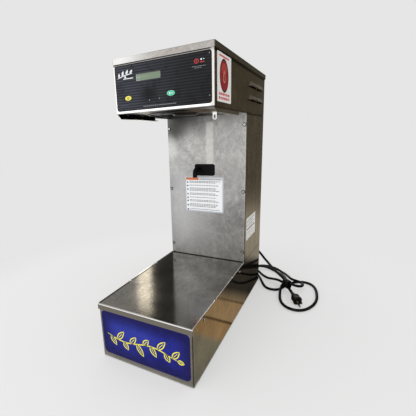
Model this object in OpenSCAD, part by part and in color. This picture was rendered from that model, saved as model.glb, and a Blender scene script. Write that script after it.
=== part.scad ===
/* [Body] */
// Width over the side panels
body_w = 254; // [252:0.5:258]
// Depth from the front of the base to the back of the body
body_d = 587; // [585:1:595]
// Thickness of the sheet metal
sheet = 1.2; // [1:0.1:1.4]
// Outer radius of the bent corners
bend_r = 2.5; // [2:0.5:4]
// Height of the rubber feet
foot_h = 2; // [2:0.5:6]
// How far the water inlet stands out behind the body
inlet_out = 25; // [22:1:40]

/* [Base] */
// Height of the base that the dispenser stands on
base_h = 143; // [140:1:148]
// How far the base's walls reach below its bottom sheet
skirt = 4; // [2:0.5:5]
// Depth of the base in front of the column
base_d = 382; // [375:1:386]
// How far the top plate stands out over the front panel
lip_out = 2; // [1.5:0.5:4]
// Height of the top plate's front lip
lip_h = 15; // [12:1:18]

/* [Column] */
// Width of the opening that the spout comes through
hole_w = 67; // [60:1:80]
// Height of the opening that the spout comes through
hole_h = 36; // [30:1:40]
// Bore of the dilution spout
spout_bore = 4.5; // [3:0.5:5]

/* [Head] */
// Height of the head's underside above the bottom of the base
head_z = 588; // [580:1:592]
// How far the head's front is behind the front of the base
head_y = 133; // [125:1:140]
// Height of the body over the top cover, without the feet
body_h = 712; // [708:1:720]
// Depth of the top cover's lip
cover_lip = 13; // [10:1:16]
// Clear height between a rail's lip and its flange
rail_gap = 8.4; // [7:0.2:9]

/* [Controls] */
// Width of the control overlay
overlay_w = 246; // [240:1:248]
// Height of the control overlay
overlay_h = 101.5; // [96:0.5:103]
// Travel of the two keys
key_travel = 0.5; // [0.3:0.1:0.6]

/* [Water system] */
// Width of the hot water tank
tank_w = 184; // [170:2:190]
// Depth of the hot water tank
tank_d = 160; // [150:2:164]
// Height of the hot water tank
tank_h = 350; // [340:2:356]
// Outer radius of the water inlet thread
inlet_r = 5.56; // [5.5:0.01:6.6]
// Lift of the valve plungers
plunger_lift = 3; // [2:0.5:3.5]

/* [Cord] */
// Diameter of the power cord
cord_d = 9; // [8:0.5:9.5]

/* [Hidden] */
$fn = 48;

// Lengths run back from the base front panel, heights up from the bottom of the base
front_y = -(body_d + inlet_out - lip_out) / 2;
hw = body_w / 2;
inner = hw - sheet;
gap = 1.2;
thin = 0.6;

// Base
base_side_h = base_h - thin - sheet;
flange_w = 15;
base_screw_y = [61, 334];
base_screw_z = 131;
notch_y = [[127, 138], [264, 276]];
ear = [1.4, 1.6, 3.2];
rib = [1.8, 1.2];
front_plate_size = [240, 118, 12];
front_plate_z = 68.2;
foot_at = [[-98, 40], [98, 40], [-98, 547], [98, 547]];
foot_r = 13;

// Column
hole_at = [-1.4, 428.5];
column_screw_x = 120.4;
column_screw_z = [175.6, 365.5, 556];
instruction_size = [129.4, 112.7, 3];
instruction_at = [-4.7, 350.8];
data_size = [107.7, 70.3];
data_at = [452, 243.6];
spout_x = -22;
spout_y = 355;
spout_z = 431;
spout_r = 7;

// Head
cover_z = body_h - cover_lip;
cover_over = 1.8;
cover_back = 3.8;
overlay_at = [-1.4, 645];
overlay_r = 6;
lcd_at = [-31.5, 664.7];
lcd_size = [66.5, 16.1];
yellow_at = [-89.4, 622.5];
yellow_size = [18, 10];
green_at = [25.9, 622.9];
green_size = [20, 11];
key_gap = 0.4;
light_at = [[-30.7, 613.3], [-3.9, 614.9]];
side_plate_size = [90, 97.6];
side_plate_at = [193.5, 647.6];
louver_y = [411.5, 487];
louver_z = [623.4, 659];
louver_size = [61, 13, 4.5];
louver_slot = 3.2;
rail_y = [134.5, 309];
rail_x = 126.4;
rivet_x = 116;
rivet_y = [160, 225, 290];
tab_at = [120.6, 150, 568];
tab_w = 9;
spray_at = [0, 255];
spray_h = 6;
ring_r = [96, 70];

// Controls
board_y = head_y + 18.6;
board_at = [-10, 645];
board_size = [190, 86];
key_back = head_y + sheet + 1.1;
switch_y = key_back + key_travel + 0.1;

// Rear panel
panel_w = 236;
panel_z = [150, 696];
rear_screw_x = 112;
rear_screw_z = [165, 350, 530, 682];
cover_screw = [95, 705.5];
inlet_at = [-70, 170];
toggle_at = [99.5, 640];
reset_at = [0, 560];
relief_at = [70, 116];
relief_len = 34;
wire_hole = [70, 550, 10];

// Water system
tank_y = 408;
tank_z = 315;
tank_wall = 1.5;
ledge_x = 78;
lid_z = tank_z + tank_h + 2;
heater_at = [30, 488];
probe_at = [[-30, 470], [-60, 450]];
valve_x = [-70, -22];
valve_y = [520, 440];
fill_y = 484;
port_z = 170;
brew_valve_y = 330;
brew_port_z = 600;
shelf_z = base_h - gap;
deck_z = head_z + 0.2;
rail_low = deck_z - 2 * sheet - rail_gap;
barb_r = 4;
hose_r = 6;
hose_bore = barb_r + 0.3;
sleeve_r = 6;
plunger_r = 4;
plunger_fit = 0.05;

// Cord, with heights above the surface that the object stands on
cord_start = [relief_at[0], body_d + relief_len, relief_at[1] + skirt + foot_h];
cord_route = [cord_start, [70.8, 635, 121.2], [76, 650.5, 115.5], [86, 661, 105],
  [97.5, 664.8, 93.5], [109.5, 664.5, 81.5], [121.5, 661.5, 70.5], [132.5, 655.5, 61],
  [143, 647.5, 55], [153, 636.5, 51], [169, 616.5, 46.5], [191, 590, 42], [214, 563, 39]];
hank_route = [[214, 563, 39], [225, 548.5, 37], [238, 535.5, 34.6], [254, 530.5, 31],
  [270, 535.5, 26], [281.3, 548.5, 22], [284.3, 566, 19], [278.8, 583, 17], [265, 594.5, 16],
  [249, 602, 15.3], [236, 614, 14.8], [225.5, 632, 13], [214, 653, 9.5], [199, 674, 6],
  [178, 696, 5], [150, 712, 5], [122, 713, 5], [100, 700, 5], [93, 677, 5], [98, 653, 5],
  [110, 630, 5], [123.5, 606, 5], [136, 583, 5], [147, 560, 5], [156.5, 541, 5], [167.5, 526, 5],
  [183, 518, 5], [200.5, 520, 5], [213.5, 531, 5], [221.8, 548, 5], [229, 567, 5],
  [239, 586, 5], [256, 606, 5], [273, 616.5, 5], [291, 618, 5], [307.5, 610, 5], [320, 592, 5],
  [328, 566, 5], [332, 538, 5], [333.5, 508, 5], [330, 478, 5], [321, 450, 5], [306, 426, 5],
  [285, 413, 5], [260, 415.5, 5], [240, 433, 5], [228, 459, 5], [222, 487, 8], [219, 512, 12.5],
  [219, 536, 15], [222, 560, 15.2], [224.5, 585, 15], [220, 611, 13], [207, 637, 9.5],
  [187, 661, 6.5], [164, 681, 6], [141, 691.5, 8], [119, 689.5, 11], [104, 677.5, 13.8],
  [99, 660, 15], [104, 642.5, 15.4], [118, 627.5, 14.6], [138, 611, 9.5], [159, 595, 9.5],
  [180, 580, 16], [200, 564, 23], [220, 548.5, 25], [228.5, 540.5, 24.2],
  [237, 532, 22], [245.5, 522.5, 18], [253, 511.5, 14.9], [261, 496, 14]];
cord_rings = 16;
hank_rings = 92;
cord_sides = 8;
tie_at = [235.5, 536.4, 28.1];
tie_turn = -41;
tie_len = 16;
plug_turn = -63;
plug_len = 34;
plug_size = [26, 26, 8];
relief_taper = 14;

// Shared shapes
module place() translate([0, front_y, foot_h + skirt]) children();

module block(low, high) translate(low) cube(high - low);

module mirrored() {
  children();
  mirror([1, 0, 0]) children();
}

module rounded(w, h, r) {
  square([w - 2 * r, h], center = true);
  square([w, h - 2 * r], center = true);
  for (x = [-1, 1], y = [-1, 1])
    translate([x * (w / 2 - r), y * (h / 2 - r)]) circle(r);
}

module oval(w, h) scale([w / h, 1]) circle(h / 2);

// Upright sheet that faces the front: its back is at y
module facing(x, y, z, t) translate([x, y, z]) rotate([90, 0, 0]) linear_extrude(t) children();

// Round bar between two points
module rod(a, b, r) {
  v = b - a;
  translate(a) rotate([0, acos(v[2] / norm(v)), atan2(v[1], v[0])]) cylinder(norm(v), r, r);
}

module bar(points, r) {
  for (i = [1:len(points) - 1]) rod(points[i - 1], points[i], r);
  for (i = [1:1:len(points) - 2]) translate(points[i]) sphere(r);
}

// Four upright walls of bent sheet, open above and below
module walls(y0, y1, z0, z1)
  translate([0, (y0 + y1) / 2, z0]) linear_extrude(z1 - z0) difference() {
    rounded(body_w, y1 - y0, bend_r);
    rounded(body_w - 2 * sheet, y1 - y0 - 2 * sheet, bend_r - sheet);
  }

// Strips inside the side walls that join one section to the next
module tongues(y0, y1, z0, z1) mirrored() block([inner - sheet, y0, z0], [inner, y1, z1]);

module column_tongues() tongues(base_d + 8, body_d - 6, base_h - 14, base_h + 12);

module pan_screw(len) {
  difference() {
    cylinder(2.2, 4.2, 3.2);
    for (a = [0, 90]) rotate(a) translate([-2.6, -0.6, 1.1]) cube([5.2, 1.2, 1.5]);
  }
  translate([0, 0, -len]) cylinder(len + 0.1, 2, 2);
}

module screw_hole() translate([0, 0, -10]) cylinder(20, 2.3, 2.3);

module to_side() rotate([0, 90, 0]) children();
module to_back() rotate([-90, 0, 0]) children();
module to_front() rotate([90, 0, 0]) children();

module at_base_screws()
  mirrored() for (y = base_screw_y) translate([hw, y, base_screw_z]) to_side() children();

module at_rear_screws()
  mirrored() for (z = rear_screw_z)
    translate([rear_screw_x, body_d + sheet, z]) to_back() children();

module at_cover_screws()
  mirrored() translate([cover_screw[0], body_d + cover_back, cover_screw[1]]) to_back() children();

module at_column_screws()
  mirrored() for (z = column_screw_z)
    translate([column_screw_x, base_d, z]) to_front() children();

// Base
module base_shell() color("dimgray") place() difference() {
  union() {
    walls(sheet, body_d, -skirt, base_h - gap);
    block([-inner, 3, 0], [inner, body_d - 1, sheet]);
    block([-inner, base_d + 2, shelf_z - sheet], [inner, body_d - 1, shelf_z]);
  }
  block([-hw + flange_w, -1, sheet], [hw - flange_w, 4, base_h]);
  block([-hw - 1, -1, base_side_h], [hw + 1, base_d, base_h + 1]);
  column_tongues();
  at_base_screws() screw_hole();
  translate([relief_at[0], body_d - 5, relief_at[1]]) to_back() cylinder(10, 8.3, 8.3);
  translate([wire_hole[0], wire_hole[1], shelf_z - 5]) cylinder(10, wire_hole[2], wire_hole[2]);
}

module base_top_plate() color("gray") place() {
  top = base_h - thin;
  corner = -lip_out + bend_r;
  translate([-hw - 0.8, 0, 0]) rotate([90, 0, 90]) linear_extrude(body_w + 1.6) {
    translate([corner, top - sheet]) square([base_d - 0.3 - corner, sheet]);
    translate([-lip_out, base_h - lip_h]) square([sheet, lip_h - thin - bend_r]);
    intersection() {
      translate([corner, top - bend_r]) difference() {
        circle(bend_r);
        circle(bend_r - sheet);
      }
      translate([-lip_out - 1, top - bend_r]) square([bend_r + 1, bend_r + 1]);
    }
  }
  difference() {
    mirrored() {
      block([hw + 0.8 - rib[0], 2, top - 0.4], [hw + 0.8, base_d - 0.3, base_h + rib[1]]);
      block([inner - sheet, 6, 118], [inner, base_d - 8, base_side_h + 0.4]);
      for (n = notch_y, y = [n[0] - ear[1], n[1]])
        block([hw + 0.8 - ear[0], y, top - 0.4], [hw + 0.8, y + ear[1], base_h + ear[2]]);
    }
    for (n = notch_y) block([-hw - 2, n[0], top], [hw + 2, n[1], base_h + 5]);
    at_base_screws() screw_hole();
  }
}

module base_front_panel() color("silver") place() {
  facing(0, sheet, (base_side_h - 2 - skirt) / 2 + 0.4, sheet)
    square([body_w - 5.4, base_side_h - 2 + skirt], center = true);
  block([-hw + flange_w + 3, sheet, sheet + 0.2], [hw - flange_w - 3, 14, 2 * sheet + 0.2]);
}

module front_plate() color("darkblue") place()
  facing(0, 0, front_plate_z, thin)
    rounded(front_plate_size[0], front_plate_size[1], front_plate_size[2]);

module feet() color("black") place()
  for (p = foot_at) translate([p[0], p[1], -foot_h - skirt])
    cylinder(foot_h + skirt, foot_r - 0.5, foot_r);

// Column
module column_shell() color("tan") place() difference() {
  union() {
    walls(base_d + sheet, body_d, base_h, head_z - gap / 2);
    column_tongues();
    mirrored() block([inner - 14, base_d + 9, shelf_z], [inner, body_d - 7, shelf_z + sheet]);
  }
  block([-hw + flange_w, base_d, base_h - 1], [hw - flange_w, base_d + 4, head_z]);
  block([-hw + 20, body_d - 4, base_h + 7], [hw - 20, body_d + 1, head_z]);
  at_column_screws() screw_hole();
  at_rear_screws() screw_hole();
}

module column_front_panel() color("lightgray") place() difference() {
  facing(0, base_d + sheet, (base_h + head_z) / 2, sheet)
    square([body_w - 2.4, head_z - base_h - gap], center = true);
  facing(hole_at[0], base_d + 5, hole_at[1], 10) rounded(hole_w, hole_h, 7);
  at_column_screws() screw_hole();
}

module column_screws() color("silver") place() at_column_screws() pan_screw(8);

module casing_screws() color("silver") place() {
  at_base_screws() pan_screw(6);
  at_rear_screws() pan_screw(6);
  at_cover_screws() pan_screw(8);
}

// The outer end turns down and the inner end takes a hose from below
module dilution_spout() color("black") place() {
  bend = 12;
  inside = base_d + 14;
  translate([spout_x, 0, 0]) difference() {
    union() {
      translate([0, spout_y, 408]) cylinder(spout_z - 408 - bend, spout_r, spout_r);
      translate([0, spout_y + bend, spout_z - bend]) rotate([90, 0, 90]) rotate([0, 0, 90])
        rotate_extrude(angle = 90) translate([bend, 0]) circle(spout_r);
      translate([0, spout_y + bend, spout_z]) to_back()
        cylinder(inside - spout_y - bend, spout_r, spout_r);
      translate([0, inside, spout_z]) sphere(spout_r);
      translate([0, inside, spout_z - 22]) cylinder(22, barb_r, barb_r);
      facing(hole_at[0] - spout_x, base_d + sheet + 2.4, hole_at[1], 2.4)
        rounded(hole_w + 12, hole_h + 12, 10);
    }
    translate([0, spout_y, 407]) cylinder(spout_z - 407 - bend, spout_bore, spout_bore);
    translate([0, inside, spout_z - 23]) cylinder(20, 2.4, 2.4);
  }
}

module instruction_plate() color("white") place()
  facing(instruction_at[0], base_d, instruction_at[1], thin)
    rounded(instruction_size[0], instruction_size[1], instruction_size[2]);

module data_plate() color("white") place()
  translate([hw, data_at[0], data_at[1]]) to_side()
    linear_extrude(thin) square([data_size[1], data_size[0]], center = true);

// Head
module louver_hood(w, h, out) translate([0, w, 0]) rotate([90, 0, 0]) linear_extrude(w)
  polygon([[-sheet / 2, 0], [out, 0], [out, 2.5], [0, h], [-sheet / 2, h]]);

module louver_cut(w, h, out) translate([0, w - sheet, 0]) rotate([90, 0, 0])
  linear_extrude(w - 2 * sheet)
    polygon([[-3, -louver_slot], [out - sheet, -louver_slot], [out - sheet, 2], [0, h - 2],
      [-3, h - 2]]);

module head_shell() color("darkkhaki") place() difference() {
  union() {
    walls(head_y + sheet, body_d, head_z + gap / 2, body_h - sheet);
    tongues(base_d + 8, body_d - 6, head_z - 12, head_z + 12);
    mirrored() for (y = louver_y, z = louver_z) translate([hw, y, z])
      louver_hood(louver_size[0], louver_size[1], louver_size[2]);
  }
  mirrored() for (y = louver_y, z = louver_z) translate([hw, y, z])
    louver_cut(louver_size[0], louver_size[1], louver_size[2]);
  block([-hw + flange_w, head_y, head_z - 1], [hw - flange_w, head_y + 4, body_h]);
  block([-hw + 20, body_d - 4, head_z - 1], [hw - 20, body_d + 1, panel_z[1] - 6]);
  at_rear_screws() screw_hole();
  at_cover_screws() translate([0, 0, -4]) screw_hole();
}

module control_holes() {
  facing(lcd_at[0], head_y + 5, lcd_at[1], 10) square(lcd_size, center = true);
  facing(yellow_at[0], head_y + 5, yellow_at[1], 10)
    oval(yellow_size[0] + 2 * key_gap, yellow_size[1] + 2 * key_gap);
  facing(green_at[0], head_y + 5, green_at[1], 10)
    oval(green_size[0] + 2 * key_gap, green_size[1] + 2 * key_gap);
  for (p = light_at) translate([p[0], head_y - 2, p[1]]) to_back() cylinder(5, 1.7, 1.7);
}

module head_front_panel() color("lightgray") place() {
  bottom = head_z + 0.4;
  height = body_h - 2 - bottom;
  difference() {
    facing(0, head_y + sheet, bottom + height / 2, sheet)
      square([body_w - 0.4, height], center = true);
    control_holes();
  }
  block([-hw + flange_w, head_y + sheet, bottom], [hw - flange_w, head_y + 12, bottom + sheet]);
}

module control_overlay() color("black") place() difference() {
  facing(overlay_at[0], head_y, overlay_at[1], thin) rounded(overlay_w, overlay_h, overlay_r);
  control_holes();
}

module lcd_window() color("darkseagreen") place()
  facing(lcd_at[0], head_y + sheet, lcd_at[1], sheet + 0.4)
    square([lcd_size[0] - 0.2, lcd_size[1] - 0.2], center = true);

module lcd_module() color("darkgreen") place() {
  facing(lcd_at[0], head_y + 8, lcd_at[1], 8 - sheet) square([71, 24], center = true);
  facing(lcd_at[0], head_y + 9.6, lcd_at[1], 1.6) square([80, 36], center = true);
  for (x = [-36, 36], z = [-14, 14]) translate([lcd_at[0] + x, head_y + 9.5, lcd_at[1] + z])
    to_back() cylinder(board_y - head_y - 9.5, 2, 2);
}

module key(size) {
  facing(0, key_back, 0, key_back - head_y + 1.4) oval(size[0], size[1]);
  facing(0, key_back, 0, 1) oval(size[0] + 4, size[1] + 4);
}

module on_off_key() color("yellow") place()
  translate([yellow_at[0], 0, yellow_at[1]]) key(yellow_size);

module brew_key() color("mediumseagreen") place()
  translate([green_at[0], 0, green_at[1]]) key(green_size);

module key_switches() color("darkslategray") place() for (p = [yellow_at, green_at]) {
  facing(p[0], board_y, p[1], board_y - switch_y - 2) square([7, 7], center = true);
  translate([p[0], switch_y, p[1]]) to_back() cylinder(2.5, 1.8, 1.8);
}

module status_lights() color("white") place() for (p = light_at)
  translate([p[0], head_y - 0.9, p[1]]) to_back() {
    cylinder(5, 1.4, 1.4);
    translate([0, 0, 3]) cylinder(2, 1.9, 1.9);
    for (x = [-1, 1]) translate([x, 0, 4.9]) cylinder(board_y - head_y - 4, 0.3, 0.3);
  }

module control_board() color("green") place() {
  facing(board_at[0], board_y + 1.6, board_at[1], 1.6) square(board_size, center = true);
  for (x = [-100, 80], z = [607, 683])
    translate([x, head_y + sheet, z]) to_back() cylinder(board_y - head_y - sheet, 3, 3);
  for (x = [-60, 10, 50]) block([x, board_y + 1.6, 620], [x + 24, board_y + 9, 640]);
  block([-80, board_y + 1.6, 660], [-30, board_y + 18, 684]);
}

module top_cover() color("lightgray") place() {
  wide = body_w + 2 * cover_over;
  deep = body_d + cover_back - head_y + cover_over;
  difference() {
    translate([0, head_y - cover_over + deep / 2, cover_z]) difference() {
      linear_extrude(cover_lip) rounded(wide, deep, bend_r);
      translate([0, 0, -1]) linear_extrude(cover_lip + 1 - sheet)
        rounded(wide - 2 * sheet, deep - 2 * sheet, bend_r - sheet);
    }
    at_cover_screws() screw_hole();
  }
}

// Underside of the head
module brew_deck() color("dimgray") place() difference() {
  union() {
    block([-inner + 0.2, head_y + 13, deck_z], [inner - 0.2, base_d + 6, deck_z + sheet]);
    mirrored() block([inner - sheet, head_y + 13, deck_z], [inner, base_d + 6, deck_z + 14]);
    for (r = ring_r) translate([spray_at[0], spray_at[1], deck_z - 2]) difference() {
      cylinder(2.1, r, r + 2);
      translate([0, 0, -1]) cylinder(4, r - 4, r - 4);
    }
  }
  translate([spray_at[0], spray_at[1], deck_z - 5]) cylinder(10, 7.1, 7.1);
  for (x = [-rivet_x, rivet_x], y = rivet_y) translate([x, y, deck_z - 5]) cylinder(10, 1.9, 1.9);
}

// Channel that a brew basket's edge slides in
module rail() {
  difference() {
    union() {
      block([rail_x - sheet, rail_y[0], rail_low], [rail_x, rail_y[1], deck_z]);
      block([rail_x - 11, rail_y[0], rail_low], [rail_x, rail_y[1], rail_low + sheet]);
      block([rail_x - 15, rail_y[0], deck_z - sheet], [rail_x, rail_y[1], deck_z]);
      block([rail_x - 15, rail_y[1] - 1, deck_z - 2 * sheet], [rail_x, base_d - 1, deck_z]);
    }
    translate([rail_x + 1, 0, 0]) rotate([0, -90, 0]) linear_extrude(13)
      polygon([[rail_low - 1, rail_y[0] - 1], [rail_low - 1, rail_y[0] + 12.5],
        [rail_low + 0.5, rail_y[0] + 12.5], [deck_z - sheet, rail_y[0]],
        [deck_z - sheet, rail_y[0] - 1]]);
    for (y = rivet_y) translate([rivet_x, y, deck_z - 5]) cylinder(10, 1.9, 1.9);
  }
}

module left_rail() color("dimgray") place() mirror([1, 0, 0]) rail();

module right_rail() color("dimgray") place() rail();

module rail_rivets() color("silver") place() for (x = [-rivet_x, rivet_x], y = rivet_y)
  translate([x, y, deck_z - sheet]) {
    translate([0, 0, -0.8]) cylinder(0.8, 2.4, 3.2);
    translate([0, 0, -0.1]) cylinder(2 * sheet + 1.4, 1.6, 1.6);
    translate([0, 0, 2 * sheet]) cylinder(1.3, 2.6, 2);
  }

// Slotted strap that keeps the basket from sliding out
module rail_tab() color("white") place() difference() {
  union() {
    facing(tab_at[0], tab_at[1] + sheet, tab_at[2], sheet) rounded(tab_w, 12, 4);
    translate([tab_at[0] - tab_w / 2, tab_at[1], 0]) {
      block([0, 0, tab_at[2] - 1], [tab_w, sheet, rail_low]);
      block([0, 0, rail_low - sheet], [tab_w, 12, rail_low]);
    }
  }
  facing(tab_at[0], tab_at[1] + 10, tab_at[2], 20) rounded(3.6, 7, 1.7);
}

module spray_head() color("lightgray") place() translate([spray_at[0], spray_at[1], 0])
  difference() {
    union() {
      translate([0, 0, deck_z - spray_h]) cylinder(spray_h - 2, 30, 34);
      translate([0, 0, deck_z - 2]) cylinder(2, 34, 34);
    }
    translate([0, 0, deck_z - 2]) cylinder(3, 6.3, 6.3);
    translate([0, 0, deck_z - spray_h + 1.5]) cylinder(spray_h - 3, 27, 27);
    for (r = [0, 11, 21], a = [0:60:(r > 0 ? 300 : 0)]) rotate(a + r)
      translate([r, 0, deck_z - spray_h - 1]) cylinder(4, 1.2, 1.2);
  }

module spray_fitting() color("goldenrod") place() translate([spray_at[0], spray_at[1], 0])
  difference() {
    union() {
      translate([0, 0, deck_z - 3]) cylinder(brew_port_z - deck_z + 3, 6, 6);
      translate([0, 0, deck_z + sheet]) cylinder(5, 11, 11, $fn = 6);
      translate([0, 0, brew_port_z]) sphere(6.5);
      translate([0, 0, brew_port_z]) to_back() cylinder(24, barb_r, barb_r);
    }
    translate([0, 0, deck_z - 4]) cylinder(brew_port_z - deck_z + 4, 2.5, 2.5);
    translate([0, 0, brew_port_z]) to_back() cylinder(25, 2.5, 2.5);
  }

module side_plate() color("mistyrose") place()
  translate([hw, side_plate_at[0], side_plate_at[1]]) to_side()
    linear_extrude(thin) rounded(side_plate_size[1], side_plate_size[0], 3);

// Rear
module rear_panel() color("gray") place() difference() {
  facing(0, body_d + sheet, (panel_z[0] + panel_z[1]) / 2, sheet)
    rounded(panel_w, panel_z[1] - panel_z[0], 4);
  at_rear_screws() screw_hole();
  translate([inlet_at[0], body_d - 5, inlet_at[1]]) to_back() cylinder(10, 7.3, 7.3);
  translate([toggle_at[0], body_d - 5, toggle_at[1]]) to_back() cylinder(10, 6.3, 6.3);
  translate([reset_at[0], body_d - 5, reset_at[1]]) to_back() cylinder(10, 4.5, 4.5);
}

module water_inlet_fitting() color("goldenrod") place() difference() {
  union() {
    block([valve_x[0] - 9, body_d - 15, port_z - 9], [valve_x[1] + 9, body_d, port_z + 9]);
    translate([inlet_at[0], body_d - 3, inlet_at[1]]) to_back() cylinder(9, 7, 7);
    translate([inlet_at[0], body_d + sheet, inlet_at[1]]) to_back() cylinder(5, 9.5, 9.5, $fn = 6);
    translate([inlet_at[0], body_d + 5, inlet_at[1]]) to_back() cylinder(inlet_out - 9, inlet_r, inlet_r);
    translate([inlet_at[0], body_d + inlet_out - 4, inlet_at[1]]) to_back() cylinder(4, inlet_r, 3.6);
    for (x = valve_x) translate([x, body_d - 14, port_z]) to_front() cylinder(16, barb_r, barb_r);
  }
  translate([inlet_at[0], body_d - 8, inlet_at[1]]) to_back() cylinder(inlet_out + 9, 2.4, 2.4);
  for (x = valve_x) translate([x, body_d - 8, port_z]) to_front() cylinder(30, 2.4, 2.4);
  translate([valve_x[0], body_d - 8, port_z]) to_side() cylinder(valve_x[1] - valve_x[0], 2.4, 2.4);
}

module power_switch() color("black") place() translate([toggle_at[0], body_d, toggle_at[1]])
  difference() {
    union() {
      block([-6.5, -27, -14], [6.5, 0, 14]);
      translate([0, -1, 0]) to_back() cylinder(9, 6, 6);
      translate([0, sheet, 0]) to_back() cylinder(2.5, 9, 9, $fn = 6);
      for (z = [-9, 0, 9]) block([-3, -35, z - 0.5], [3, -26, z + 0.5]);
    }
    translate([0, -10, 0]) to_back() cylinder(20, 4.6, 4.6);
  }

module power_switch_lever() color("silver") place()
  translate([toggle_at[0], body_d + 2, toggle_at[1]]) rotate([-13, 0, 0]) {
    sphere(4);
    to_back() cylinder(16, 1.6, 2.4);
    translate([0, 16, 0]) sphere(2.4);
  }

// Water system
module water_tank() color("lightsteelblue") place() difference() {
  union() {
    translate([0, tank_y + tank_d / 2, tank_z]) linear_extrude(tank_h) rounded(tank_w, tank_d, 8);
    translate([0, tank_y + 1, brew_port_z]) to_front() cylinder(22, barb_r, barb_r);
    translate([valve_x[0], fill_y, tank_z - 22]) cylinder(23, barb_r, barb_r);
  }
  translate([0, tank_y + tank_d / 2, tank_z + tank_wall]) linear_extrude(tank_h)
    rounded(tank_w - 2 * tank_wall, tank_d - 2 * tank_wall, 6.5);
  translate([0, tank_y + 5, brew_port_z]) to_front() cylinder(40, 2.5, 2.5);
  translate([valve_x[0], fill_y, tank_z - 30]) cylinder(40, 2.5, 2.5);
}

module lid_holes(z0, z1)
  for (p = [[heater_at, 16.3], [probe_at[0], 3.3], [probe_at[1], 3.3]])
    translate([p[0][0], p[0][1], z0]) cylinder(z1 - z0, p[1], p[1]);

module tank_lid() color("lightsteelblue") place() difference() {
  translate([0, tank_y + tank_d / 2, lid_z]) linear_extrude(2) rounded(tank_w + 6, tank_d + 6, 10);
  lid_holes(lid_z - 1, lid_z + 3);
}

module tank_gasket() color("firebrick") place() translate([0, tank_y + tank_d / 2, lid_z - 2])
  linear_extrude(2) difference() {
    rounded(tank_w + 4, tank_d + 4, 9);
    rounded(tank_w - 8, tank_d - 8, 6);
  }

module tank_brackets() color("silver") place() mirrored() {
  block([ledge_x, 430, tank_z - sheet], [inner, 545, tank_z]);
  block([inner - sheet, 430, tank_z - 32], [inner, 545, tank_z - sheet + 0.1]);
}

module heating_element() color("darkgray") place() translate([heater_at[0], heater_at[1], 0]) {
  translate([0, 0, lid_z + 2]) cylinder(6, 21, 21);
  translate([0, 0, lid_z - 4]) cylinder(7, 16, 16);
  for (x = [-10, 10]) {
    translate([x, 0, tank_z + 40]) cylinder(lid_z - tank_z - 41, 4, 4);
    translate([x, 0, lid_z + 8]) cylinder(12, 2, 2);
  }
  translate([0, 0, tank_z + 40]) rotate([-90, 0, 0])
    rotate_extrude(angle = 180) translate([10, 0]) circle(4);
}

module probe(p, depth) translate([p[0], p[1], 0]) {
  translate([0, 0, lid_z + 2]) cylinder(8, 7, 7, $fn = 6);
  translate([0, 0, lid_z - depth]) cylinder(depth + 14, 3, 3);
}

module temperature_probe() color("gainsboro") place() probe(probe_at[0], 150);

module level_probe() color("gainsboro") place() probe(probe_at[1], 45);

module limit_thermostat() color("sienna") place()
  translate([reset_at[0], tank_y + tank_d, reset_at[1]]) to_back() difference() {
    union() {
      cylinder(3, 12, 12);
      cylinder(11, 9, 9);
    }
    translate([0, 0, 4]) cylinder(10, 3.05, 3.05);
  }

module limit_reset_button() color("red") place()
  translate([reset_at[0], tank_y + tank_d + 6, reset_at[1]]) to_back() cylinder(16, 3, 3);

// Valve with its ports along the depth and its sleeve upright
module valve(foot, port) {
  difference() {
    union() {
      block([-13, -11, foot], [13, 11, port + 9]);
      translate([0, -26, port]) to_back() cylinder(52, barb_r, barb_r);
      translate([0, 0, port + 8.9]) cylinder(33.1, sleeve_r, sleeve_r);
    }
    translate([0, -27, port]) to_back() cylinder(54, 2.4, 2.4);
    translate([0, 0, port]) cylinder(20, 1.5, 1.5);
    translate([0, 0, port + 11.7]) cylinder(26.3, plunger_r + plunger_fit, plunger_r + plunger_fit);
  }
}

module coil(port) translate([0, 0, port + 9.2]) difference() {
  union() {
    cylinder(25, 14, 14);
    block([-15, -15, 0], [15, 15, 1.5]);
    block([-15, -15, 23.5], [15, 15, 25]);
    block([13.8, -4, 10], [20, 4, 16]);
  }
  translate([0, 0, -1]) cylinder(30, sleeve_r + 0.3, sleeve_r + 0.3);
}

module plunger(port) translate([0, 0, port + 12]) cylinder(22, plunger_r, plunger_r);

module at_inlet_valve() translate([valve_x[0], valve_y[0], 0]) children();
module at_dilution_valve() translate([valve_x[1], valve_y[1], 0]) children();
module at_brew_valve() translate([0, brew_valve_y, 0]) children();

module inlet_valve() color("ivory") place() at_inlet_valve() valve(shelf_z, port_z);

module dilution_valve() color("ivory") place() at_dilution_valve() valve(shelf_z, port_z);

module brew_valve() color("ivory") place() at_brew_valve() valve(deck_z + sheet, brew_port_z);

module valve_coils() color("darkred") place() {
  at_inlet_valve() coil(port_z);
  at_dilution_valve() coil(port_z);
  at_brew_valve() coil(brew_port_z);
}

module inlet_plunger() color("silver") place() at_inlet_valve() plunger(port_z);

module dilution_plunger() color("silver") place() at_dilution_valve() plunger(port_z);

module brew_plunger() color("silver") place() at_brew_valve() plunger(brew_port_z);

module hose(points) difference() {
  bar(points, hose_r);
  bar(points, hose_bore);
}

module water_hoses() color("whitesmoke") place() {
  up = base_d + 14;
  hose([[valve_x[0], body_d - 16, port_z], [valve_x[0], valve_y[0] + 12, port_z]]);
  hose([[valve_x[1], body_d - 16, port_z], [valve_x[1], valve_y[1] + 12, port_z]]);
  hose([[valve_x[0], valve_y[0] - 12, port_z], [valve_x[0], fill_y, port_z],
    [valve_x[0], fill_y, tank_z - 2]]);
  hose([[valve_x[1], valve_y[1] - 12, port_z], [valve_x[1], up, port_z],
    [valve_x[1], up, spout_z - 8]]);
  hose([[0, tank_y - 2, brew_port_z], [0, brew_valve_y + 12, brew_port_z]]);
  hose([[0, brew_valve_y - 12, brew_port_z], [0, spray_at[1] + 12, brew_port_z]]);
}

// Electrical parts
module terminal_block() color("wheat") place() translate([40, 500, shelf_z]) difference() {
  cube([60, 26, 20]);
  for (x = [6, 26, 46], y = [-1, 19]) translate([x, y, 12]) cube([8, 8, 20]);
}

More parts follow.
